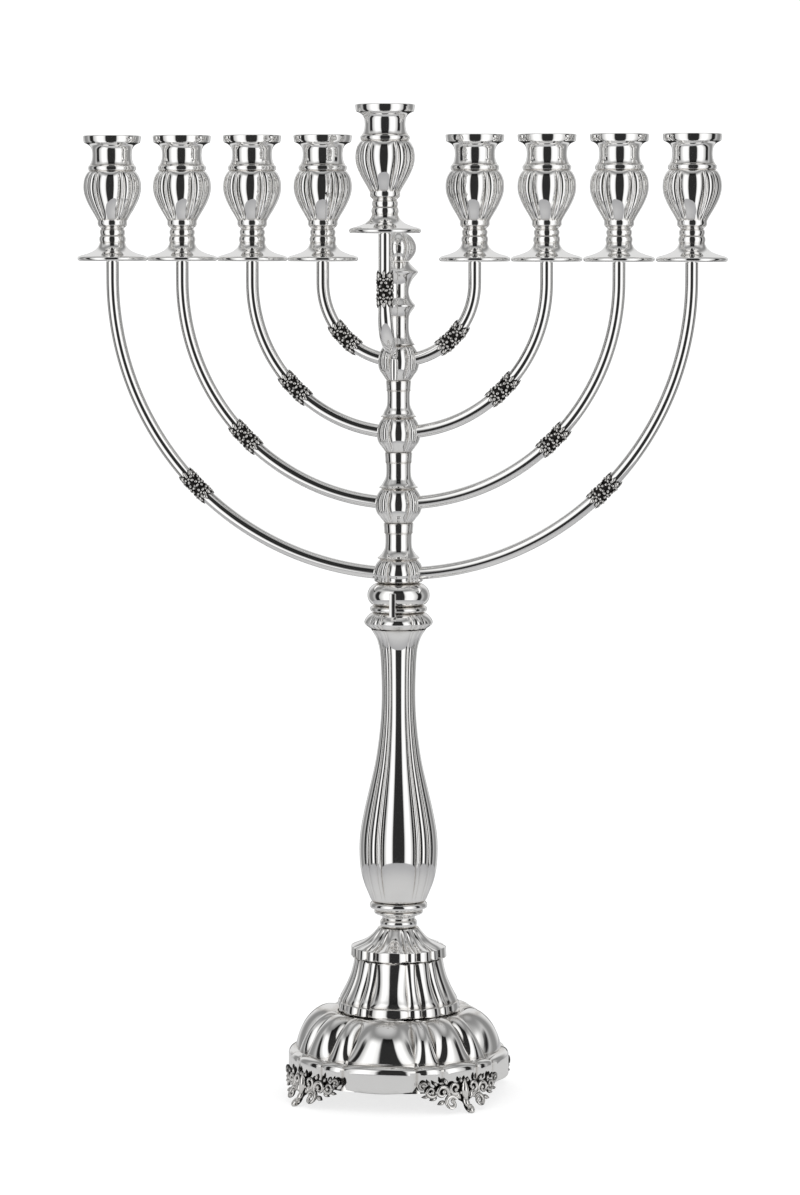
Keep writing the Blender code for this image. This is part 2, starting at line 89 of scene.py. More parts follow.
def span(before, start, end, after, fine):
    """Samples of the curve from start to end, given the points on either side of them."""
    gap_before = max((start - before).xy.length, 1e-6) ** 0.5
    gap = max((end - start).xy.length, 1e-6) ** 0.5
    gap_after = max((after - end).xy.length, 1e-6) ** 0.5
    leave = (start - before) / gap_before - (end - before) / (gap_before + gap) + (end - start) / gap
    arrive = (end - start) / gap - (after - start) / (gap + gap_after) + (after - end) / gap_after
    samples = []
    for i in range(1, fine + 1):
        t = i / fine
        rise = t * t * (3 - 2 * t)
        lift = start * (1 - rise) + end * rise
        lift += leave * gap * (t * (1 - t) ** 2) - arrive * gap * (t * t * (1 - t))
        samples.append(lift)
    return samples


def outline(*points, fine=6):
    """Samples, in millimetres, of (radius, level, depth) down a turned piece's half section."""
    runs, run = [], []
    for number, row in enumerate(points):
        place, corner = point(*row)
        run.append(place)
        if corner and number and len(run) > 1:
            runs.append(run)
            run = [place]
    if len(run) > 1:
        runs.append(run)
    samples = [runs[0][0]]
    for run in runs:
        padded = [run[0] * 2 - run[1]] + run + [run[-1] * 2 - run[-2]]
        for four in zip(padded, padded[1:], padded[2:], padded[3:]):
            samples += span(*four, fine)
    return samples


# %% [markdown]
# ## Turning
#
# The spin operator is the lathe. It slows down as the mesh grows, and every turned piece here has four
# like quarters, so one quarter is spun and three copies of it close the round. Each vertex of the half
# section carries the number of its sample, so that a later step can find it again.


# %% The lathe
ROUND = 128


def turn(samples, steps=ROUND, closed=False):
    """Turn an outline about Z. A closed outline makes a ring; an open one starts and ends on Z."""
    bm = bmesh.new()
    number = bm.verts.layers.int.new("sample")
    verts = []
    for i, sample in enumerate(samples):
        vert = bm.verts.new((sample.x * MM, 0.0, sample.y * MM))
        vert[number] = i
        verts.append(vert)
    pairs = list(zip(verts, verts[1:])) + ([(verts[-1], verts[0])] if closed else [])
    edges = [bm.edges.new(pair) for pair in pairs]
    bmesh.ops.spin(bm, geom=verts + edges, cent=(0, 0, 0), axis=(0, 0, 1), angle=math.pi / 2,
                   steps=steps // 4, use_merge=False)
    quarter = bm.verts[:] + bm.edges[:] + bm.faces[:]
    for turns in (1, 2, 3):
        copy = bmesh.ops.duplicate(bm, geom=quarter)["geom"]
        bmesh.ops.rotate(bm, cent=(0, 0, 0), matrix=Matrix.Rotation(turns * math.pi / 2, 3, "Z"),
                         verts=[part for part in copy if isinstance(part, bmesh.types.BMVert)])
    bmesh.ops.remove_doubles(bm, verts=bm.verts, dist=0.001 * MM)
    bm.verts.layers.float.new("crevice")
    return bm


# %% [markdown]
# ## Lobes
#
# The fluting is pressed or cast, not cut: between sharp valleys the wall swells out like a cushion.
# Each quarter has one broad lobe that faces front, side or back, then a narrow, a medium and a narrow
# one across the diagonal. A plain sine would round the valleys as well and look like soft plastic, so
# the swell is a power curve that meets its neighbour at an angle. The spin's even steps are moved
# round so that a row of vertices falls in every valley.


# %% Lobes
class Lobes:
    """The azimuths round a lobed piece, and how far the wall swells at each."""

    def __init__(self, broad, narrow, medium, fullness=2.4):
        self.stations = []
        start = -broad / 2
        rows = ((broad, 1.0, 36), (narrow, 0.68, 12), (medium, 0.86, 20), (narrow, 0.68, 12))
        for width, swell, steps in rows:
            for i in range(steps):
                across = 2 * i / steps - 1
                azimuth = math.radians(start + width * i / steps)
                self.stations.append((azimuth, swell * (1 - abs(across) ** fullness)))
            start += width
        self.steps = 4 * len(self.stations)

    def at(self, x, y):
        step = round(math.atan2(y, x) / (2 * math.pi) * self.steps) % self.steps
        quarter, station = divmod(step, len(self.stations))
        azimuth, swell = self.stations[station]
        return quarter * math.pi / 2 + azimuth, swell


BASE_LOBES = Lobes(broad=40, narrow=14, medium=22)
STEM_LOBES = Lobes(broad=58, narrow=7, medium=18, fullness=3.0)
STEM_TURN = 10.5
COLLAR_TURN = 6.5
print(f"lobes: {BASE_LOBES.steps} steps round")


def press(bm, samples, lobes):
    """Press the valleys of the lobes in along the wall's normal, and mark them as crevices."""
    number = bm.verts.layers.int["sample"]
    crevice = bm.verts.layers.float["crevice"]
    last = len(samples) - 1
    for vert in bm.verts:
        i = vert[number]
        along = samples[min(i + 1, last)] - samples[max(i - 1, 0)]
        normal = Vector((-along.y, along.x))
        normal.normalize()
        azimuth, swell = lobes.at(vert.co.x, vert.co.y)
        depth = samples[i].z
        radius = samples[i].x - normal.x * depth * (1 - swell)
        level = samples[i].y - normal.y * depth * (1 - swell)
        vert.co = Vector((radius * math.cos(azimuth), radius * math.sin(azimuth), level)) * MM
        vert[crevice] = (1 - swell) ** 10 * min(max(depth, 0.0), 1.0)
    return bm


def darken_seams(bm, *levels, reach=0.9):
    """Mark the wall near a joint with its neighbour, where polish and tarnish collect."""
    crevice = bm.verts.layers.float["crevice"]
    for vert in bm.verts:
        nearest = min(abs(vert.co.z / MM - level) for level in levels)
        vert[crevice] = max(vert[crevice], 0.8 * math.exp(-(nearest / reach) ** 2))
    return bm


# %% [markdown]
# ## Shader expressions
#
# A finish is easier to read as arithmetic than as a list of links. A Wire wraps one socket, and each
# sum or product of wires adds the Math node that does it. Every other node comes from one method.


# %% Shader expressions
class Wire:
    """A socket in a finish, with arithmetic that adds Math nodes."""

    def __init__(self, finish, socket):
        self.finish = finish
        self.socket = socket

    def math(self, operation, *values):
        inputs = dict(enumerate(values))
        return self.finish.node("ShaderNodeMath", {"operation": operation}, inputs)

    def __add__(self, other):
        return self.math("ADD", self, other)

    def __sub__(self, other):
        return self.math("SUBTRACT", self, other)

    def __rsub__(self, other):
        return self.math("SUBTRACT", other, self)

    def __mul__(self, other):
        return self.math("MULTIPLY", self, other)

    def clamped(self):
        return self.finish.node("ShaderNodeClamp", {}, {"Value": self})

    def step(self, start, end):
        """Rises smoothly from 0 to 1 as the value goes from start to end."""
        settings = {"interpolation_type": "SMOOTHSTEP"}
        return self.finish.node("ShaderNodeMapRange", settings,
                                {"Value": self, "From Min": start, "From Max": end})

    __radd__ = __add__
    __rmul__ = __mul__


class Finish:
    """A material or world whose nodes are added by name."""

    def __init__(self, owner):
        owner.use_nodes = True
        self.owner = owner
        self.tree = owner.node_tree
        self.tree.nodes.clear()

    def node(self, kind, settings, inputs, output=0):
        node = self.tree.nodes.new(kind)
        for name, value in settings.items():
            setattr(node, name, value)
        for name, value in inputs.items():
            if isinstance(value, Wire):
                self.tree.links.new(value.socket, node.inputs[name])
            else:
                node.inputs[name].default_value = value
        return Wire(self, node.outputs[output])

    def blend(self, factor, first, second):
        return self.node("ShaderNodeMix", {"data_type": "RGBA"}, {0: factor, 6: first, 7: second}, 2)

    def noise(self, place, scale, detail):
        return self.node("ShaderNodeTexNoise", {}, {"Vector": place, "Scale": scale, "Detail": detail})

    def place(self):
        return self.node("ShaderNodeTexCoord", {}, {}, "Object")

    def attribute(self, name):
        return self.node("ShaderNodeAttribute", {"attribute_name": name}, {}, "Fac")

    def show(self, inputs):
        self.node_out(self.node("ShaderNodeBsdfPrincipled", {}, inputs), "ShaderNodeOutputMaterial")

    def node_out(self, shader, output):
        end = self.tree.nodes.new(output)
        self.tree.links.new(shader.socket, end.inputs["Surface"])


# %% [markdown]
# ## Polished silver
#
# Silver reflects about 95% of the light, a little less in the blue. What makes it look like metal and
# not like chrome paint is the handwork: the buffed wall is never quite flat, the buffing leaves a very
# fine haze, and in the valleys, where the wheel can't reach, a warm tarnish stays. The valleys are
# already marked on the mesh, so the tarnish follows the real shape.


# %% Polished silver
def polished_silver():
    finish = Finish(bpy.data.materials.new("mirror_silver"))
    place = finish.place()
    mottle = finish.noise(place, 140.0, 4.0)
    haze = finish.noise(place, 900.0, 3.0)
    tarnish = (finish.attribute("crevice") * (mottle * 1.5)).clamped()
    colour = finish.blend(tarnish * 0.6, (0.945, 0.94, 0.93, 1.0), (0.4, 0.35, 0.29, 1.0))
    roughness = haze * 0.035 + tarnish * 0.25 + 0.028
    waves = finish.noise(place, 55.0, 1.0) * 0.05 + haze * 0.0012
    bump = finish.node("ShaderNodeBump", {}, {"Strength": 1.0, "Distance": MM, "Height": waves})
    finish.show({"Base Color": colour, "Metallic": 1.0, "Roughness": roughness, "Normal": bump})
    return finish.owner


# %% [markdown]
# ## Oxidised silver
#
# The cast feet and the sleeves are dipped to blacken them and then rubbed, so the high points come
# back bright and the hollows stay nearly black. Each cast piece carries a relief value from 0 in its
# ground to 1 on its crests, and a ramp turns that into colour and gloss.


# %% Oxidised silver
def oxidised_silver():
    finish = Finish(bpy.data.materials.new("dipped_silver"))
    place = finish.place()
    grain = finish.noise(place, 1600.0, 3.0)
    patches = finish.noise(place, 300.0, 2.0)
    relief = finish.attribute("relief") + (patches - 0.5) * 0.35
    rubbed = relief.step(0.28, 0.8)
    colour = finish.blend(rubbed, (0.028, 0.026, 0.025, 1.0), (0.9, 0.885, 0.86, 1.0))
    roughness = (1 - rubbed) * 0.34 + grain * 0.12 + 0.06
    bump = finish.node("ShaderNodeBump", {}, {"Strength": 0.6, "Distance": 0.04 * MM, "Height": grain})
    finish.show({"Base Color": colour, "Metallic": 1.0, "Roughness": roughness, "Normal": bump})
    return finish.owner


# %% [markdown]
# ## Plain steel
#
# The rods, the nut and the washer are bare drawn steel, whose gloss is broken up by fine scratches.
# They keep the frame's own shape and only take this finish, because nothing of them shows until the
# branch head is lifted off.


# %% Plain steel
def plain_steel():
    finish = Finish(bpy.data.materials.new("rod_steel"))
    scratches = finish.noise(finish.place(), 700.0, 5.0)
    colour = finish.blend(scratches, (0.32, 0.32, 0.33, 1.0), (0.56, 0.56, 0.57, 1.0))
    finish.show({"Base Color": colour, "Metallic": 1.0, "Roughness": scratches * 0.3 + 0.25})
    return finish.owner


POLISHED = polished_silver()
OXIDISED = oxidised_silver()
STEEL = plain_steel()
for node in ("tie_rod", "base_nut", "base_washer", "head_rod"):
    metal = bpy.data.objects[node].data.materials
    metal.clear()
    metal.append(STEEL)
print("finishes: polished silver, oxidised silver, steel on the rods")

# %% [markdown]
# ## Handing a piece over
#
# Every piece ends the same way: doubles merged at the poles, faces turned outwards, smooth shading
# broken only at real edges, its finish, and its place in the frame: it hangs from its body and stands for its
# node.


# %% Handing a piece over
def low_level(node):
    """The level of a node's underside, in millimetres."""
    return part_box(node)[0].z / MM


def high_level(node):
    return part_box(node)[1].z / MM


def hand_over(bm, node, body, finish=None, sharp=40.0):
    """Make a piece of the shape, standing for the node."""
    bmesh.ops.remove_doubles(bm, verts=bm.verts, dist=0.002 * MM)
    bmesh.ops.recalc_face_normals(bm, faces=bm.faces)
    if bm.calc_volume(signed=True) < 0:
        bmesh.ops.reverse_faces(bm, faces=bm.faces)
    mesh = bpy.data.meshes.new(f"{node}_silver")
    bm.to_mesh(mesh)
    bm.free()
    mesh.shade_smooth()
    mesh.set_sharp_from_angle(angle=math.radians(sharp))
    made = bpy.data.objects.new(mesh.name, mesh)
    bpy.context.collection.objects.link(made)
    finish = finish or POLISHED
    mesh.materials.append(finish)
    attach(made, body)
    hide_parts(node)
    print(f"{made.name}: {len(mesh.polygons)} faces")
    return made


def lift(bm, level):
    bmesh.ops.translate(bm, vec=(0, 0, level * MM), verts=bm.verts)
    return bm


def rotate(bm, degrees):
    """Turn a whole shape about Z."""
    turning = Matrix.Rotation(math.radians(degrees), 3, "Z")
    bmesh.ops.rotate(bm, cent=(0, 0, 0), matrix=turning, verts=bm.verts)


def turned_piece(node, body, samples, seams, closed=True):
    """A plain turned piece, whose levels are counted from the node's underside."""
    bm = darken_seams(turn(samples, closed=closed), *seams)
    return hand_over(lift(bm, low_level(node)), node, body)


def lobed_piece(node, body, samples, lobes, seams, closed=True, turned=0.0):
    """The same, with lobes pressed into it, and turned about its axis by some degrees."""
    bm = press(turn(samples, lobes.steps, closed), samples, lobes)
    rotate(bm, turned)
    darken_seams(bm, *seams)
    return hand_over(lift(bm, low_level(node)), node, body)


# %% [markdown]
# ## The dome
#
# The base is one spun sheet: an upright rim band, a rolled ledge, and a dome pressed into deep lobes
# that arch over at the top and dive under the bell. The lobes are deepest on the dome's shoulder, and
# on the rim they are only a hint. The sheet is hollow, so the outline comes back up inside.

# %% The dome
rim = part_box("base_dome")[1].x / MM
clearance = 0.3
rod_bore = 3.0 + clearance
dome = outline(
    (rod_bore, 39.0, 0, CORNER), (37.0, 39.0, 0, CORNER), (38.8, 39.2, 0.3), (41.2, 40.3, 1.8),
    (44.8, 40.8, 4.2), (49.2, 39.4, 6.0), (53.6, 36.2, 6.8), (57.4, 31.8, 6.6), (60.2, 26.6, 5.8),
    (62.0, 21.6, 4.4), (62.8, 18.0, 3.0), (62.9, 16.6, 2.4, CORNER), (64.4, 16.2, 2.0), (66.2, 15.2, 1.8),
    (67.1, 14.0, 1.8), (rim, 12.6, 1.8, CORNER), (rim, 1.0, 1.8, CORNER), (rim - 0.2, 0.4, 1.8),
    (rim - 0.8, 0.0, 1.8, CORNER), (rim - 2.4, 0.0, 1.8, CORNER), (rim - 2.6, 12.0, -1.8), (61.2, 15.6, -2.4),
    (57.6, 24.5, -5.4), (50.6, 34.5, -6.4), (44.0, 38.0, -4.8), (37.0, 37.4, -0.4, CORNER),
    (rod_bore, 37.4, 0, CORNER))
lobed_piece("base_dome", "stem", dome, BASE_LOBES, seams=(39.0, 16.6))

# %% [markdown]
# ## Bell and cap
#
# Two hollow cones stand on the dome. The bell has a lobed collar at its foot and sweeps up in a hollow
# curve; the cap starts from its own collar and draws in quickly to the neck. Their lobes line up with
# the dome's, so the same azimuths press all three.

# %% Bell and cap
bell = outline(
    (rod_bore, 32.5, 0, CORNER), (26.6, 32.5, 1.2, CORNER), (27.1, 31.0, 1.4), (27.9, 27.0, 1.8),
    (29.3, 21.8, 2.2), (31.6, 16.2, 2.4), (34.0, 11.4, 2.2), (35.8, 8.0, 1.9), (36.2, 6.3, 1.8, CORNER),
    (36.9, 5.8, 1.8), (37.1, 5.1, 1.8, CORNER), (37.5, 3.0, 1.8), (37.7, 0.6, 1.8, CORNER),
    (37.3, 0.0, 1.8, CORNER), (34.6, 0.0, 1.8, CORNER), (33.2, 9.0, -1.9), (28.0, 21.0, -2.2),
    (25.4, 30.9, -1.2, CORNER), (rod_bore, 30.9, 0, CORNER))
lobed_piece("base_bell", "stem", bell, BASE_LOBES, seams=(6.4, 0.0, 32.5))

cap = outline(
    (rod_bore, 18.1, 0, CORNER), (12.0, 18.1, 0.2, CORNER), (13.5, 16.3, 0.9), (16.4, 13.1, 1.7),
    (20.4, 10.2, 2.3), (25.6, 8.0, 2.3), (28.2, 6.9, 1.8), (28.9, 6.3, 1.6), (29.05, 5.5, 1.6, CORNER),
    (29.2, 3.0, 1.6), (29.35, 0.6, 1.6, CORNER), (28.9, 0.0, 1.6, CORNER), (26.5, 0.0, 1.6, CORNER),
    (25.0, 6.0, -1.8), (14.0, 13.0, -1.4), (10.5, 16.6, -0.2, CORNER), (rod_bore, 16.6, 0, CORNER))
lobed_piece("base_cap", "stem", cap, BASE_LOBES, seams=(0.0, 18.1))

# %% [markdown]
# ## Neck
#
# A small ring, a waist and a step carry the ring that the vase stands on. They are plain turned work,
# and the light in them runs in clean circles.

# %% Neck
neck = outline(
    (rod_bore, 10.2, 0, CORNER), (14.0, 10.2, 0, CORNER), (14.7, 9.5, 0), (14.5, 8.4, 0), (12.4, 7.4, 0),
    (10.2, 6.6, 0), (9.8, 5.6, 0), (10.2, 4.4, 0, CORNER), (11.0, 3.4, 0), (11.2, 2.2, 0), (10.9, 0.6, 0),
    (10.4, 0.0, 0, CORNER), (rod_bore, 0.0, 0, CORNER))
turned_piece("neck_ring", "stem", neck, seams=(0.0, 4.4, 10.2))

ring_top = high_level("vase_ring") - low_level("vase_ring")
vase_ring = outline(
    (rod_bore, ring_top, 0, CORNER), (14.9, ring_top, 0, CORNER), (16.3, ring_top - 0.6, 0),
    (17.2, ring_top - 1.8, 0), (17.4, ring_top - 3.0, 0), (17.0, ring_top - 4.2, 0), (15.8, 1.0, 0, CORNER),
    (15.2, 0.9, 0), (14.9, 0.4, 0), (14.8, 0.0, 0, CORNER), (rod_bore, 0.0, 0, CORNER))
turned_piece("vase_ring", "stem", vase_ring, seams=(0.0, ring_top))

# %% [markdown]
# ## The vase
#
# The long baluster is the largest mirror on the object. Its broad front lobe is nearly a cylinder,
# which is why it shows one tall dark streak, and the narrow lobes beside it break the room into
# threads. The lobes fade out at the foot and run on up into the flare under the collar.

# %% The vase
spigot_bore = 7.3
vase_top = high_level("stem_vase") - low_level("stem_vase")
vase = outline(
    (spigot_bore, vase_top, 0, CORNER), (16.8, vase_top, 0.4, CORNER), (15.0, 163.6, 0.5),
    (13.3, 160.4, 0.6), (11.5, 154.0, 0.7), (10.5, 141.0, 0.7), (10.15, 126.0, 0.7), (10.6, 113.0, 0.8),
    (11.9, 99.0, 0.9), (14.1, 84.4, 1.1), (17.35, 69.9, 1.4), (20.7, 55.3, 1.7), (23.1, 42.0, 1.9),
    (23.75, 31.0, 1.9), (22.9, 18.9, 1.7), (20.9, 10.6, 1.3), (18.6, 4.8, 0.7), (16.8, 0.6, 0),
    (16.4, 0.0, 0, CORNER), (rod_bore, 0.0, 0, CORNER), (rod_bore, 3.2, 0, CORNER), (15.5, 5.2, 0),
    (19.2, 22.0, -2.0), (19.4, 40.0, -2.4), (13.4, 69.0, -1.9), (7.9, 95.0, -1.0),
    (rod_bore, 113.0, 0, CORNER), (rod_bore, 143.2, 0, CORNER), (spigot_bore, 143.2, 0, CORNER), fine=8)
lobed_piece("stem_vase", "stem", vase, STEM_LOBES, seams=(0.0, vase_top), turned=STEM_TURN)

# %% [markdown]
# ## Top collar and ring
#
# The lobed collar crowns the vase, and a small rounded ring on it carries the branch head.

# %% Top collar and ring
collar_top = 9.7
collar = outline(
    (spigot_bore, collar_top, 0, CORNER), (15.4, collar_top, 0.2, CORNER), (16.4, 9.2, 0.4), (18.6, 7.4, 0.8),
    (20.2, 5.2, 1.1), (20.7, 3.6, 1.1), (20.2, 2.4, 1.1, CORNER), (18.4, 1.0, 0.8), (17.0, 0.0, 0.5, CORNER),
    (spigot_bore, 0.0, 0, CORNER))
lobed_piece("stem_top_collar", "stem", collar, STEM_LOBES, seams=(0.0, collar_top), turned=COLLAR_TURN)

ring_high = high_level("head_ring") - low_level("head_ring")
head_ring = outline(
    (spigot_bore, ring_high, 0, CORNER), (15.6, ring_high, 0, CORNER), (16.8, ring_high - 0.7, 0),
    (17.2, ring_high / 2, 0), (16.8, 0.7, 0), (15.6, 0.0, 0, CORNER), (spigot_bore, 0.0, 0, CORNER))
turned_piece("head_ring", "stem", head_ring, seams=(0.0, ring_high))

# %% [markdown]
# ## Cushion knop and key
#
# The branch head begins with a smooth flattened ball. An upright bar soldered on its front reaches
# down past the ring, and shows which way round the head goes.

# %% Cushion knop and key
cushion_top = high_level("cushion_knop") - low_level("cushion_knop")
cushion = outline(
    (rod_bore, cushion_top, 0, CORNER), (12.8, cushion_top, 0, CORNER), (15.0, cushion_top - 0.8, 0),
    (17.4, cushion_top - 3.0, 0), (18.7, cushion_top - 6.2, 0), (18.4, cushion_top - 9.6, 0),
    (16.6, 1.2, 0), (14.8, 0.0, 0, CORNER), (spigot_bore, 0.0, 0, CORNER), (spigot_bore, 2.0, 0, CORNER),
    (rod_bore, 2.0, 0, CORNER))
turned_piece("cushion_knop", "branch_head", cushion, seams=(0.0, cushion_top))


def block(node):
    """A bar with softened edges that fills a node's box."""
    low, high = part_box(node)
    bm = bmesh.new()
    size = Matrix.Diagonal((*(high - low), 1.0))
    bmesh.ops.create_cube(bm, size=1.0, matrix=Matrix.Translation((low + high) / 2) @ size)
    bmesh.ops.bevel(bm, geom=bm.edges[:], offset=0.35 * MM, segments=4, profile=0.5, affect="EDGES",
                    material=-1)
    bm.verts.layers.float.new("crevice")
    return bm


hand_over(block("front_key"), "front_key", "branch_head")

# %% [markdown]
# ## Ball knops
#
# Four lobed balls carry the arms. Each is a little smaller than the one below it. They are the stem's
# lobes again on a ball, deep at the waist and gone at the shoulders.


# %% Ball knops
KNOP_ABOVE = 9.0


def knop(number):
    node = f"knop_{number}"
    low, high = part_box(node)
    radius = high.x / MM
    tall = (high.z - low.z) / MM
    middle = tall - KNOP_ABOVE
    foot = 0.82 * radius if number == 1 else 0.6 * radius
    depth = 0.11 * radius
    samples = outline(
        (rod_bore, tall, 0, CORNER), (0.7 * radius, tall, 0, CORNER), (0.8 * radius, tall - 1.4, 0.5 * depth),
        (0.93 * radius, middle + 4.2, depth), (radius, middle, depth), (0.94 * radius, 0.55 * middle, depth),
        (foot + 0.14 * radius, 0.22 * middle, 0.6 * depth), (foot, 0.0, 0.1 * depth, CORNER),
        (rod_bore, 0.0, 0, CORNER), fine=8)
    lobed_piece(node, "branch_head", samples, STEM_LOBES, seams=(0.0, tall), turned=STEM_TURN)


for number in range(1, 5):
    knop(number)

# %% [markdown]
# ## Necks between the knops
#
# Each neck flares out to its lower knop, narrows to a waist, and ends under the next knop in a short
# straight ferrule with a fine line round it.


# %% Necks between the knops
def neck_tube(number):
    node = f"neck_tube_{number}"
    low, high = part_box(node)
    tall = (high.z - low.z) / MM
    shoulder = high.x / MM
    ferrule = (9.0, 8.3, 7.6)[number - 1]
    waist = (7.9, 7.4, 6.8)[number - 1]
    line = tall - 6.0
    samples = outline(
        (rod_bore, tall, 0, CORNER), (ferrule - 0.3, tall, 0, CORNER), (ferrule - 0.1, tall - 0.5, 0),
        (ferrule - 0.4, line + 0.5, 0), (ferrule - 0.3, line, 0, CORNER),
        (waist + 0.15, line - 0.3, 0, CORNER), (waist, line - 2.6, 0), (waist + 0.3, 0.42 * line, 0),
        (waist + 1.6, 0.24 * line, 0),
        (shoulder - 1.6, 1.4, 0), (shoulder - 0.4, 0.3, 0), (shoulder - 0.6, 0.0, 0, CORNER),
        (rod_bore, 0.0, 0, CORNER))
    turned_piece(node, "branch_head", samples, seams=(0.0, line, tall))


for number in range(1, 4):
    neck_tube(number)

# %% [markdown]
# ## Spindle and finial
#
# Above the top knop the column turns slender, with two cone-shaped knops, and ends in a small lobed
# ball. They stand behind the front arm.

# %% Spindle and finial
spindle_top = high_level("spindle") - low_level("spindle")
spindle = outline(
    (0.0, spindle_top, 0), (6.2, spindle_top, 0, CORNER), (6.9, 49.2, 0), (8.6, 47.4, 0), (11.6, 44.4, 0),
    (11.8, 43.9, 0, CORNER), (11.5, 43.3, 0), (8.6, 39.8, 0), (6.8, 36.0, 0), (6.1, 32.2, 0), (6.9, 28.4, 0),
    (9.8, 24.2, 0), (10.0, 23.7, 0, CORNER), (9.8, 23.1, 0), (7.4, 19.6, 0), (6.3, 17.2, 0, CORNER),
    (6.2, 9.7, 0), (6.8, 5.6, 0), (8.4, 2.4, 0), (9.6, 0.5, 0), (9.7, 0.0, 0, CORNER),
    (rod_bore, 0.0, 0, CORNER), (rod_bore, 36.2, 0, CORNER), (0.0, 36.2, 0))
turned_piece("spindle", "branch_head", spindle, seams=(0.0, 17.2, spindle_top), closed=False)

finial = outline(
    (0.0, 17.7, 0), (3.4, 17.2, 0.2), (7.4, 14.9, 0.8), (10.0, 11.0, 1.1), (10.6, 7.7, 1.2), (9.8, 4.4, 1.1),
    (7.8, 1.5, 0.6), (6.4, 0.0, 0.1, CORNER), (0.0, 0.0, 0), fine=8)
lobed_piece("finial", "branch_head", finial, STEM_LOBES, seams=(0.0,), closed=False, turned=STEM_TURN)

# %% [markdown]
# ## The arms
#
# Each arm is a drawn tube bent to a quarter circle, with a straight top. A circle spun about the arc's
# centre gives the bend exactly, and its last ring is pulled up to the drip pan and then stepped in for
# the stud that the cup screws on.

# %% The arms
TUBE_SIDES = 40
tube_radius = 3.9
tenon_start = 8.3
stud_radius = 2.9
stud_length = 8.0
pan_level = low_level("cup_right_1")


def arm_reach(number):
    """How far an arm's cup stands from the column, in millimetres."""
    low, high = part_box(f"cup_right_{number}")
    return (low.x + high.x) / 2 / MM


def arm(number, side):
    node = f"arm_{side}_{number}"
    reach = arm_reach(number)
    middle = high_level(f"knop_{number}") - KNOP_ABOVE
    start = math.asin(tenon_start / reach)
    bm = bmesh.new()
    across = Matrix.Rotation(math.pi / 2, 4, "Y")
    ring = bmesh.ops.create_circle(bm, segments=TUBE_SIDES, radius=tube_radius * MM, matrix=across)
    centre = Vector((0, 0, (middle + reach) * MM))
    bmesh.ops.translate(bm, vec=(0, 0, middle * MM), verts=ring["verts"])
    bmesh.ops.rotate(bm, cent=centre, matrix=Matrix.Rotation(-start, 3, "Y"), verts=ring["verts"])
    bend = bmesh.ops.spin(bm, geom=bm.verts[:] + bm.edges[:], cent=centre, axis=(0, -1, 0),
                          angle=math.pi / 2 - start, steps=max(24, round(reach / 2)), use_merge=False)
    last = [part for part in bend["geom_last"] if isinstance(part, bmesh.types.BMEdge)]
    shoulder = pan_level - clearance
    stud_top = pan_level + stud_length
    for radius, level in ((tube_radius, shoulder), (stud_radius, shoulder), (stud_radius, stud_top)):
        grown = bmesh.ops.extrude_edge_only(bm, edges=last)["geom"]
        verts = [part for part in grown if isinstance(part, bmesh.types.BMVert)]
        last = [part for part in grown if isinstance(part, bmesh.types.BMEdge)]
        for vert in verts:
            away = Vector((vert.co.x - reach * MM, vert.co.y)).normalized() * radius * MM
            vert.co = Vector((reach * MM + away.x, away.y, level * MM))
    bmesh.ops.holes_fill(bm, edges=bm.edges, sides=0)
    bm.verts.layers.float.new("crevice")
    if side == "left":
        rotate(bm, 180.0)
    hand_over(bm, node, "branch_head")


for number in range(1, 5):
    for side in ("right", "left"):
        arm(number, side)

# %% [markdown]
# ## Casting ornament
#
# Cast ornament is a crowd of small soft forms: petals, beads, leaves and scrolls. Each is made once as
# an operator shape and laid out flat, as a modeller presses wax on a board. Only then is the board
# bent round the tube or the rim. The height above the board is kept as the relief value.


# %% Wax shapes
PETALS = 5


def blob(bm, across, along, out, size, turned=0.0, segments=10):
    """A soft oval: its place on the board, its size each way, and its turn on the board."""
    place = Matrix.Translation(Vector((across, along, out)) * MM)
    spin = Matrix.Rotation(math.radians(turned), 4, "Z")
    scale = Matrix.Diagonal((*(Vector(size) * MM), 1.0))
    bmesh.ops.create_uvsphere(bm, u_segments=segments, v_segments=6, radius=1.0,
                              matrix=place @ spin @ scale)


def leaf(bm, across, along, out, length, width, turned):
    """A pointed leaf: a blob drawn out to a tip."""
    before = set(bm.verts)
    blob(bm, 0, 0, 0, (length / 2, width / 2, 0.55 * width), segments=12)
    for vert in set(bm.verts) - before:
        part = vert.co.x / (length / 2 * MM)
        vert.co.y *= 1.0 - 0.75 * max(part, 0.0) ** 1.5
        vert.co.z *= 1.0 - 0.5 * max(part, 0.0)
        vert.co.x += length / 2 * MM
    move = Matrix.Translation(Vector((across, along, out)) * MM)
    move = move @ Matrix.Rotation(math.radians(turned), 4, "Z")
    bmesh.ops.transform(bm, matrix=move, verts=list(set(bm.verts) - before))


def rosette(bm, across, along, out, radius, turned):
    """A flower: petals round a bright bead."""
    for i in range(PETALS):
        angle = turned + 360.0 * i / PETALS
        x = across + 0.62 * radius * math.cos(math.radians(angle))
        y = along + 0.62 * radius * math.sin(math.radians(angle))
        blob(bm, x, y, out, (0.4 * radius, 0.29 * radius, 0.32 * radius), angle, segments=10)
    blob(bm, across, along, out + 0.14 * radius, (0.24 * radius, 0.24 * radius, 0.3 * radius), segments=8)


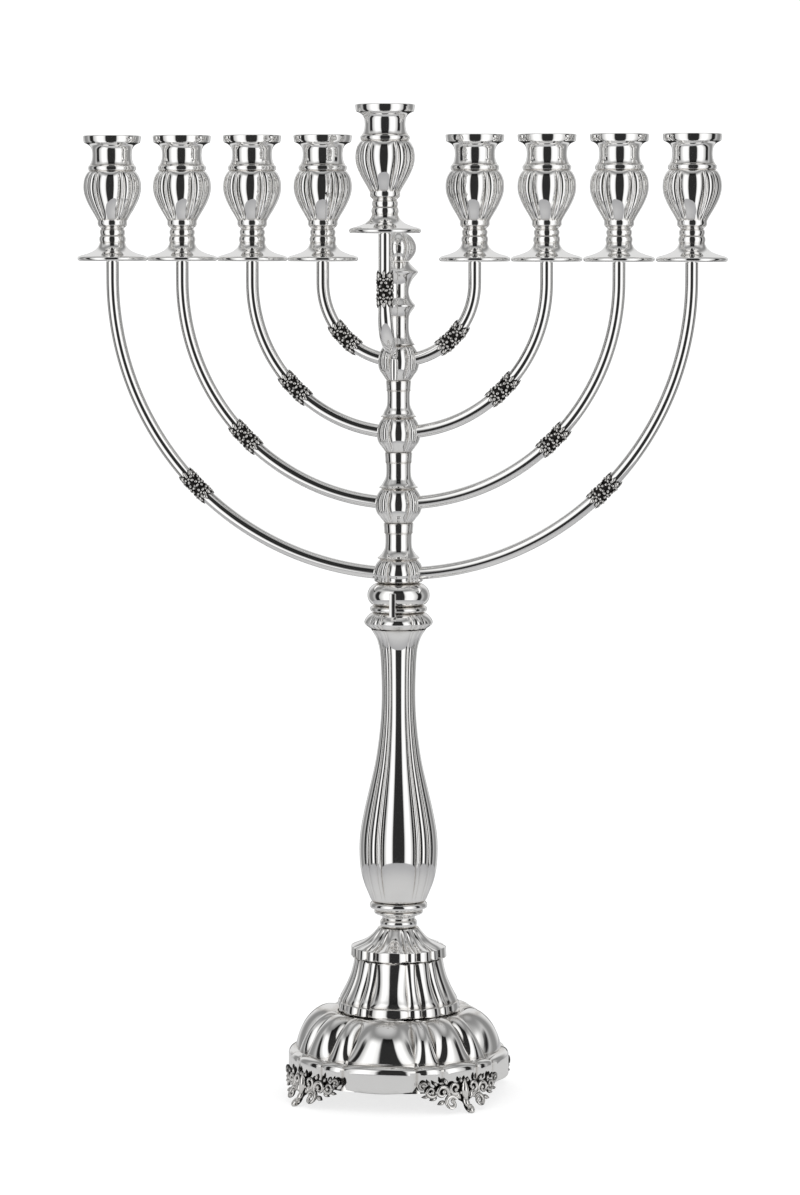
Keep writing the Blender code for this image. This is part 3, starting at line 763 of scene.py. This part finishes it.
def scroll(bm, across, along, radius, start, end, thick, out, shrink=0.28):
    """A C-scroll: a tapering bar wound from start to end degrees in to its eye."""
    steps = max(10, round(abs(end - start) / 18))
    loops = []
    for i in range(steps + 1):
        part = i / steps
        angle = math.radians(start + (end - start) * part)
        reach = radius * (1 - part + shrink * part)
        girth = thick * (1.0 - 0.45 * part)
        centre = Vector((across + reach * math.cos(angle), along + reach * math.sin(angle), out + 0.4 * part))
        turned = Matrix.Rotation(angle + (math.pi / 2 if end > start else -math.pi / 2), 4, "Z")
        upright = Matrix.Rotation(math.pi / 2, 4, "Y")
        place = Matrix.Translation(centre * MM) @ turned @ upright
        ring = bmesh.ops.create_circle(bm, segments=8, radius=girth * MM, matrix=place)["verts"]
        loops.append(list({edge for vert in ring for edge in vert.link_edges}))
    for first, second in zip(loops, loops[1:]):
        bmesh.ops.bridge_loops(bm, edges=first + second)
    for edges in (loops[0], loops[-1]):
        bmesh.ops.edgenet_fill(bm, edges=edges)
    eye = math.radians(end)
    x = across + radius * shrink * math.cos(eye)
    y = along + radius * shrink * math.sin(eye)
    blob(bm, x, y, out + 0.5, (thick * 0.95, thick * 0.95, thick * 0.9), segments=8)


def mark_relief(bm, ground, crest):
    """Keep each vertex's height above the board as its relief, from 0 at the ground to 1."""
    relief = bm.verts.layers.float.new("relief")
    for vert in bm.verts:
        vert[relief] = min(max((vert.co.z / MM - ground) / (crest - ground), 0.0), 1.0)


# %% [markdown]
# ## Floral sleeves
#
# Every arm wears one cast sleeve at the middle of its bend: three rows of flowers round the tube with
# leaf tips fraying out at both ends. The board is rolled round the tube first, and then follows the
# arm's arc.

# %% Floral sleeves
SLEEVE_FLOWERS = 4
sleeve_core = 4.3
sleeve_length = high_level("shamash_sleeve") - low_level("shamash_sleeve")


def sleeve_board():
    bm = bmesh.new()
    girth = 2 * math.pi * sleeve_core
    pitch = girth / SLEEVE_FLOWERS
    spread = sleeve_length / 2 - 6.0
    for i in range(SLEEVE_FLOWERS):
        across = pitch * i
        for row, along in enumerate((spread, 0.0, -spread)):
            offset = pitch / 2 * (row % 2)
            rosette(bm, across + offset, along, 0.1, 3.3, turned=36.0 * row + 18.0)
            blob(bm, across + offset + pitch / 2, along, 0.2, (0.9, 1.1, 0.75))
        for end in (1, -1):
            tip = end * (spread + 1.9)
            leaf(bm, across, tip, 0.15, 4.0, 2.2, 90.0 * end)
            leaf(bm, across + pitch / 2, tip - end * 1.3, 0.1, 4.4, 2.4, 90.0 * end)
            leaf(bm, across + pitch / 4, tip - end * 0.4, 0.1, 3.2, 1.6, 90.0 * end - 25.0)
            leaf(bm, across - pitch / 4, tip - end * 0.4, 0.1, 3.2, 1.6, 90.0 * end + 25.0)
    mark_relief(bm, 0.25, 1.3)
    return bm


def roll_up(bm):
    """Roll the board round the Z axis, with its ends along Z."""
    for vert in bm.verts:
        around = vert.co.x / (sleeve_core * MM)
        part = min(abs(vert.co.y) / (sleeve_length / 2 * MM), 1.0)
        radius = sleeve_core * MM + max(vert.co.z, -0.2 * MM) * (1.0 - 0.6 * part ** 3)
        vert.co = Vector((radius * math.cos(around), radius * math.sin(around), vert.co.y))


def add_sleeve_tube(bm):
    """The dark tube under the flowers."""
    half = sleeve_length / 2 - 2.6
    bore = tube_radius + 0.12
    samples = outline((bore, half, 0, CORNER), (sleeve_core - 0.1, half - 0.7, 0), (sleeve_core, 0.0, 0),
                      (sleeve_core - 0.1, 0.7 - half, 0), (bore, -half, 0, CORNER))
    tube = turn(samples, 32, closed=True)
    mesh = bpy.data.meshes.new("sleeve_tube")
    tube.to_mesh(mesh)
    tube.free()
    bm.from_mesh(mesh)
    bpy.data.meshes.remove(mesh)


def bend_to_arc(bm, number, side):
    """Carry a sleeve from the Z axis to the middle of an arm's arc."""
    reach = arm_reach(number) * MM
    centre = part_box(f"knop_{number}")[1].z - KNOP_ABOVE * MM + reach
    for vert in bm.verts:
        turned = math.pi / 4 + vert.co.z / reach
        radius = reach + vert.co.x
        vert.co = Vector((radius * math.sin(turned), vert.co.y, centre - radius * math.cos(turned)))
    if side == "left":
        rotate(bm, 180.0)


def kept(bm):
    """Keep a shape as a mesh, so that it is only built once."""
    mesh = bpy.data.meshes.new("pattern")
    bm.to_mesh(mesh)
    bm.free()
    return mesh


def cast_from(mesh):
    """A new bmesh of a kept shape."""
    bm = bmesh.new()
    bm.from_mesh(mesh)
    return bm


def hand_over_cast(bm, node, body):
    """A cast piece has the dark finish, and is smooth over wider angles."""
    return hand_over(bm, node, body, OXIDISED, sharp=60.0)


bm = sleeve_board()
roll_up(bm)
add_sleeve_tube(bm)
sleeve_pattern = kept(bm)
for number in range(1, 5):
    for side in ("right", "left"):
        bm = cast_from(sleeve_pattern)
        bend_to_arc(bm, number, side)
        hand_over_cast(bm, f"sleeve_{side}_{number}", "branch_head")

# %% [markdown]
# ## The front arm
#
# The ninth arm stands forward of the row. Below its sleeve it sweeps back to the column, flattens to a
# blade and ends in a prong that drops into a small socket on the top knop. A tube can't change its
# section with a spin, so rings are set along the path and bridged.

# %% The front arm
front_y = (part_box("cup_shamash")[0].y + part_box("cup_shamash")[1].y) / 2 / MM
front_pan = low_level("cup_shamash")
socket_y = (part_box("shamash_socket")[0].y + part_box("shamash_socket")[1].y) / 2 / MM
prong_radius = 1.1
arc_top = 480.5
arc_reach = socket_y - front_y


def front_stations():
    """(place, direction, width, thickness) down the front arm, in millimetres."""
    down = Vector((0, 0, -1))
    rows = [(Vector((0, front_y, front_pan + stud_length)), down, stud_radius, stud_radius),
            (Vector((0, front_y, front_pan - clearance)), down, stud_radius, stud_radius),
            (Vector((0, front_y, front_pan - clearance - 0.01)), down, tube_radius, tube_radius),
            (Vector((0, front_y, arc_top + 12.0)), down, tube_radius, tube_radius)]
    steps = 28
    for i in range(steps + 1):
        part = i / steps
        turned = math.radians(86.0) * part
        place = Vector((0, socket_y - arc_reach * math.cos(turned), arc_top - arc_reach * math.sin(turned)))
        heading = Vector((0, math.sin(turned), -math.cos(turned)))
        width = tube_radius + 0.8 * math.sin(math.pi * part) - 2.3 * part ** 3
        rows.append((place, heading, width, tube_radius - 2.4 * part ** 0.9))
    floor = arc_top - arc_reach
    rows.append((Vector((0, socket_y - 0.5, floor - 0.5)), Vector((0, 0.6, -0.8)), 1.5, 1.4))
    for level in (floor - 2.0, low_level("shamash_arm")):
        rows.append((Vector((0, socket_y, level)), down, prong_radius, prong_radius))
    return rows


def sweep(stations):
    """Rings set along a path and bridged, with closed ends."""
    bm = bmesh.new()
    loops = []
    for place, heading, width, thickness in stations:
        side = Vector((1, 0, 0))
        face = heading.normalized().cross(side)
        axes = Matrix((side * width, face * thickness, heading.normalized())).transposed().to_4x4()
        matrix = Matrix.Translation(place * MM) @ axes @ Matrix.Diagonal((MM, MM, MM, 1.0))
        ring = bmesh.ops.create_circle(bm, segments=TUBE_SIDES, radius=1.0, matrix=matrix)["verts"]
        loops.append(list({edge for vert in ring for edge in vert.link_edges}))
    for first, second in zip(loops, loops[1:]):
        bmesh.ops.bridge_loops(bm, edges=first + second)
    bmesh.ops.holes_fill(bm, edges=bm.edges, sides=0)
    bm.verts.layers.float.new("crevice")
    return bm


hand_over(sweep(front_stations()), "shamash_arm", "shamash")

bm = cast_from(sleeve_pattern)
sleeve_low, sleeve_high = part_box("shamash_sleeve")
bmesh.ops.translate(bm, vec=(0, front_y * MM, (sleeve_low.z + sleeve_high.z) / 2), verts=bm.verts)
hand_over_cast(bm, "shamash_sleeve", "shamash")

socket_high = high_level("shamash_socket") - low_level("shamash_socket")
socket = outline(
    (1.4, socket_high, 0, CORNER), (1.8, socket_high, 0), (2.1, socket_high - 0.5, 0), (2.1, 0.8, 0),
    (1.8, 0.0, 0), (1.4, 0.0, 0, CORNER))
bm = turn(socket, 48, closed=True)
bmesh.ops.translate(bm, vec=(0, socket_y * MM, low_level("shamash_socket") * MM), verts=bm.verts)
hand_over(bm, "shamash_socket", "branch_head")

# %% [markdown]
# ## Candle cups
#
# The nine cups are alike: a drip pan rising to two turned rings, a lobed vase-shaped body between a
# ring and a bead, a smooth neck, and a flaring mouth with an upright lip. Each is screwed on until it
# stops, with a broad lobe nearly to the front, and is never quite square to its neighbours.

# %% Candle cups
candle = 11.0
pan = (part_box("cup_shamash")[1].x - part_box("cup_shamash")[0].x) / 2 / MM
cup_height = (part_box("cup_shamash")[1].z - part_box("cup_shamash")[0].z) / MM
stud_hole = stud_radius + clearance
cup = outline(
    (0.0, 38.0, 0), (candle, 38.0, 0, CORNER), (candle, 66.0, 0), (11.6, 69.4, 0), (14.2, 71.6, 0),
    (16.2, 73.0, 0), (16.7, cup_height - 0.2, 0), (17.0, cup_height, 0), (17.4, cup_height - 0.3, 0),
    (17.5, cup_height - 1.0, 0, CORNER), (17.2, 72.4, 0), (16.9, 71.6, 0, CORNER), (15.6, 71.1, 0),
    (13.8, 70.0, 0), (12.5, 68.2, 0), (12.0, 65.6, 0), (12.0, 62.8, 0), (12.5, 60.4, 0),
    (13.5, 58.2, 0, CORNER), (14.3, 57.4, 0), (14.5, 56.4, 0), (14.3, 55.2, 0), (13.8, 54.6, 0, CORNER),
    (15.0, 53.6, 0.6),
    (16.7, 50.4, 1.3), (17.5, 45.6, 1.6), (17.1, 41.0, 1.7), (15.6, 36.6, 1.6), (13.3, 32.0, 1.4),
    (10.9, 28.0, 1.0), (9.3, 25.2, 0.4, CORNER), (8.9, 24.2, 0), (8.9, 22.2, 0), (8.4, 21.2, 0, CORNER),
    (7.2, 20.2, 0), (6.9, 19.4, 0, CORNER), (7.5, 18.6, 0), (7.6, 17.0, 0), (7.2, 15.6, 0, CORNER),
    (7.8, 14.6, 0), (8.0, 12.8, 0), (7.6, 11.2, 0, CORNER), (8.2, 9.8, 0), (9.4, 7.9, 0), (11.8, 6.0, 0),
    (15.8, 4.3, 0), (19.8, 3.1, 0), (pan - 0.4, 2.5, 0), (pan, 1.5, 0), (pan - 0.5, 0.5, 0),
    (pan - 1.4, 0.2, 0, CORNER), (stud_hole, 0.0, 0, CORNER), (stud_hole, stud_length + clearance, 0, CORNER),
    (0.0, stud_length + clearance, 0), fine=4)
CUP_LOBES = Lobes(broad=54, narrow=8, medium=20, fullness=3.0)
bm = press(turn(cup, CUP_LOBES.steps), cup, CUP_LOBES)
darken_seams(bm, 58.2, 54.6, 25.2, 21.2, 19.4, 15.6, 11.2, reach=0.5)
cup_pattern = kept(bm)
cup_places = [(f"cup_{side}_{number}", 3.0 + (7.0 * number) % 5 + (side == "left"))
              for number in range(1, 5) for side in ("right", "left")]
for node, turned in cup_places + [("cup_shamash", 5.0)]:
    low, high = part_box(node)
    bm = cast_from(cup_pattern)
    rotate(bm, turned)
    bmesh.ops.translate(bm, vec=((low.x + high.x) / 2, (low.y + high.y) / 2, low.z), verts=bm.verts)
    hand_over(bm, node, node)

# %% [markdown]
# ## Scroll feet
#
# Four cast brackets hold the rim. On the board each is a symmetrical spray: a toe curled up
# outwards, a leaf rising from it, and on each side a big scroll, an S of smaller ones out to the
# wing's tip, and leaves between them. The board is then wrapped round the rim and its toe splayed out.

# %% Scroll feet
foot_high = high_level("foot_1")
foot_back = rim + clearance
foot_wing = 29.0
foot_splay = 6.0
rim_bottom = low_level("base_dome")


def foot_half(bm):
    """The +X half of a foot's board."""
    scroll(bm, 9.4, 6.3, 4.3, 150, -230, 1.55, out=1.5)
    scroll(bm, 6.2, 14.8, 3.9, -120, 250, 1.4, out=1.4)
    scroll(bm, 14.6, 12.6, 4.1, 190, -200, 1.45, out=1.3)
    scroll(bm, 21.4, 13.6, 3.5, 210, 590, 1.3, out=1.2)
    scroll(bm, 26.6, 16.8, 2.5, 160, -240, 1.1, out=1.1)
    for across, along, length, width, turned in (
            (3.0, 7.6, 7.4, 3.4, 58), (11.4, 17.0, 4.8, 2.8, 62), (13.4, 7.6, 5.4, 2.6, -18),
            (17.6, 16.6, 4.2, 2.4, 48), (18.0, 9.8, 5.2, 2.3, -14), (23.0, 10.8, 4.6, 2.0, -4),
            (22.4, 17.0, 3.8, 2.0, 70), (2.0, 17.4, 3.6, 2.4, 78)):
        leaf(bm, across, along, 1.2, length, width, turned)
    for across, along, radius in ((10.6, 11.6, 1.3), (18.2, 13.0, 1.1), (24.4, 13.2, 1.0), (2.4, 11.6, 1.1)):
        blob(bm, across, along, 1.7, (radius, radius, radius), segments=8)


def foot_middle(bm):
    """The palmette on the middle line, and the toe, a strip curled up outwards."""
    leaf(bm, 0.0, 6.4, 1.9, 14.0, 5.0, 90)
    blob(bm, 0.0, 8.2, 2.1, (1.7, 2.2, 1.1))
    before = set(bm.verts)
    scroll(bm, 3.3, 3.15, 2.9, 140, 560, 1.0, out=0.0, shrink=0.3)
    for vert in set(bm.verts) - before:
        vert.co = Vector((2.0 * vert.co.z, vert.co.y, vert.co.x))
    leaf(bm, 0.0, 9.6, 1.3, 7.6, 4.4, 270)


def foot_web(bm):
    """A thin dark ground behind the scrolls, from the toe out to the wings."""
    before = set(bm.verts)
    bmesh.ops.create_grid(bm, x_segments=44, y_segments=8, size=1.0)
    web = list(set(bm.verts) - before)
    for vert in web:
        across = vert.co.x * (foot_wing - 7.5)
        part = abs(across) / foot_wing
        low = 4.5 + 6.5 * min(1.0, abs(across) / 9.0)
        high = foot_high - 4.6 - 6.0 * part ** 1.5
        along = low + (high - low) * (vert.co.y + 1) / 2
        vert.co = Vector((across, along, 0.35)) * MM
    faces = list({face for vert in web for face in vert.link_faces})
    grown = bmesh.ops.extrude_face_region(bm, geom=faces)["geom"]
    back = [part for part in grown if isinstance(part, bmesh.types.BMVert)]
    bmesh.ops.translate(bm, vec=(0, 0, 0.45 * MM), verts=back)


def wrap_on_rim(bm):
    """Bend the board round the rim, facing +X, with the toe splayed outwards."""
    for vert in bm.verts:
        around = vert.co.x / (foot_back * MM)
        level = min(max(vert.co.y, 0.0), foot_high * MM)
        splay = foot_splay * MM * max(0.0, 1.0 - level / (rim_bottom * MM)) ** 1.5
        radius = foot_back * MM + splay + min(max(vert.co.z, 0.0), 7.5 * MM)
        vert.co = Vector((radius * math.cos(around), radius * math.sin(around), level))


def foot_board():
    bm = bmesh.new()
    foot_half(bm)
    half = bm.verts[:] + bm.edges[:] + bm.faces[:]
    copy = bmesh.ops.duplicate(bm, geom=half)["geom"]
    verts = [part for part in copy if isinstance(part, bmesh.types.BMVert)]
    bmesh.ops.scale(bm, vec=(-1, 1, 1), verts=verts)
    foot_middle(bm)
    foot_web(bm)
    mark_relief(bm, 1.0, 3.0)
    return bm


bm = foot_board()
wrap_on_rim(bm)
foot_pattern = kept(bm)
for number in range(1, 5):
    bm = cast_from(foot_pattern)
    rotate(bm, 90.0 * number - 45.0)
    hand_over_cast(bm, f"foot_{number}", "stem")

# %% [markdown]
# ## The camera
#
# A long lens stands far off, so that the row of cups stays level and the arms don't fan out. It
# stands a little to the right of the middle, and high enough to look down on to the drip pans.

# %% Camera
lens_turn = math.radians(10.5)
lens_distance = 4.25 * height
lens_level = 0.885 * height
middle_level = 0.5065 * height
camera_data = bpy.data.cameras.new("camera")
camera_data.lens = 127.2
camera_data.sensor_width = 36.0
camera = bpy.data.objects.new("camera", camera_data)
bpy.context.collection.objects.link(camera)
camera.location = (lens_distance * math.sin(lens_turn), -lens_distance * math.cos(lens_turn), lens_level)
sight = Vector((0.0009, 0.0, middle_level)) - camera.location
camera.rotation_euler = sight.to_track_quat("-Z", "Y").to_euler()
bpy.context.scene.camera = camera
print(f"camera: {lens_distance:.2f} m away, {lens_level:.3f} m up")


# %% [markdown]
# ## The tent
#
# Silver is lit in a white tent. Bright walls stand left and right, the lens looks in through a dark
# gap between them, and narrower gaps at the sides and behind draw the dark lines that give a round
# form its edge. The tent is written as light over direction: azimuth from the lens, and elevation.


# %% The tent
def tent():
    world = Finish(bpy.data.worlds.new("studio"))
    direction = world.node("ShaderNodeTexCoord", {}, {}, "Generated")
    toward_lens = (math.sin(lens_turn), -math.cos(lens_turn), 0.0)
    level = world.node("ShaderNodeVectorMath", {"operation": "MULTIPLY"}, {0: direction, 1: (1.0, 1.0, 0.0)})
    flat = world.node("ShaderNodeVectorMath", {"operation": "NORMALIZE"}, {0: level})
    facing = world.node("ShaderNodeVectorMath", {"operation": "DOT_PRODUCT"}, {0: flat, 1: toward_lens}, 1)
    azimuth = facing.math("ARCCOSINE", facing) * (180.0 / math.pi)
    up = world.node("ShaderNodeSeparateXYZ", {}, {0: direction}, 2)
    front_gap = (1 - azimuth.step(20.0, 27.0)) * (1 - up.step(0.82, 0.87))
    side_gap = azimuth.step(74.0, 80.0) * (1 - azimuth.step(92.0, 104.0)) * (1 - up.step(0.45, 0.7))
    back_gap = azimuth.step(160.0, 166.0) * (1 - up.step(0.04, 0.12))
    dark = (front_gap + side_gap + back_gap).clamped()
    walls = azimuth.step(20.0, 42.0) * 0.3 + 0.85 - azimuth.step(50.0, 76.0) * 0.55
    walls = walls - azimuth.step(96.0, 118.0) * 0.34 + azimuth.step(130.0, 158.0) * 0.5
    ceiling = up.step(0.62, 0.86)
    room = walls * (1 - ceiling) + ceiling * (up.step(0.86, 1.0) * 0.3 + 0.27)
    seen = room * (1 - dark * 0.97)
    path = world.tree.nodes.new("ShaderNodeLightPath")
    mirrored = Wire(world, path.outputs["Is Glossy Ray"])
    strength = seen * mirrored + (1 - mirrored) * 1.12
    light = world.node("ShaderNodeBackground", {}, {"Color": (1.0, 1.0, 1.0, 1.0), "Strength": strength})
    world.node_out(light, "ShaderNodeOutputWorld")
    return world.owner


bpy.context.scene.world = tent()

# %% [markdown]
# ## The floor
#
# The object stands on white paper. The paper glows, so that it stays white, and still takes a contact
# shadow. Polished silver sees painted shade on it: a grey disc a little over half a metre in radius,
# mid grey near the object and darker out to its edge, as paper that curves up into the tent would look.

# %% The floor
bm = bmesh.new()
bmesh.ops.create_grid(bm, x_segments=1, y_segments=1, size=8.0)
floor_mesh = bpy.data.meshes.new("floor")
bm.to_mesh(floor_mesh)
bm.free()
floor = bpy.data.objects.new("floor", floor_mesh)
bpy.context.collection.objects.link(floor)
floor.location.z = cad_low.z
paper = Finish(bpy.data.materials.new("floor_paper"))
path = paper.tree.nodes.new("ShaderNodeLightPath")
mirrored = Wire(paper, path.outputs["Is Glossy Ray"])
reach = paper.node("ShaderNodeVectorMath", {"operation": "LENGTH"}, {0: paper.place()}, 1)
# Painted shade: in silver the paper is mid grey near the object and darker grey further out.
painted_floor_shade_in_silver = paper.blend(reach.step(0.06, 0.55), (0.58, 0.58, 0.58, 1.0), (0.38, 0.38, 0.39, 1.0))
shade = paper.blend(mirrored, (0.3, 0.3, 0.3, 1.0), painted_floor_shade_in_silver)
sheet = paper.node("ShaderNodeBsdfPrincipled", {}, {
    "Base Color": shade, "Roughness": 1.0, "Specular IOR Level": 0.0, "Emission Color": (1.0, 1.0, 1.0, 1.0),
    "Emission Strength": (1 - mirrored) * 0.74})
beyond = paper.node("ShaderNodeBsdfTransparent", {}, {})
cover = paper.node("ShaderNodeMixShader", {}, {0: mirrored * reach.step(0.56, 0.58), 1: sheet, 2: beyond})
paper.node_out(cover, "ShaderNodeOutputMaterial")
floor_mesh.materials.append(paper.owner)

# %% [markdown]
# ## Exposure
#
# The Standard view keeps the paper white and the silver's darks deep. A film curve would flatten both.

# %% Exposure
bpy.context.scene.view_settings.view_transform = "Standard"
bpy.context.scene.view_settings.look = "None"
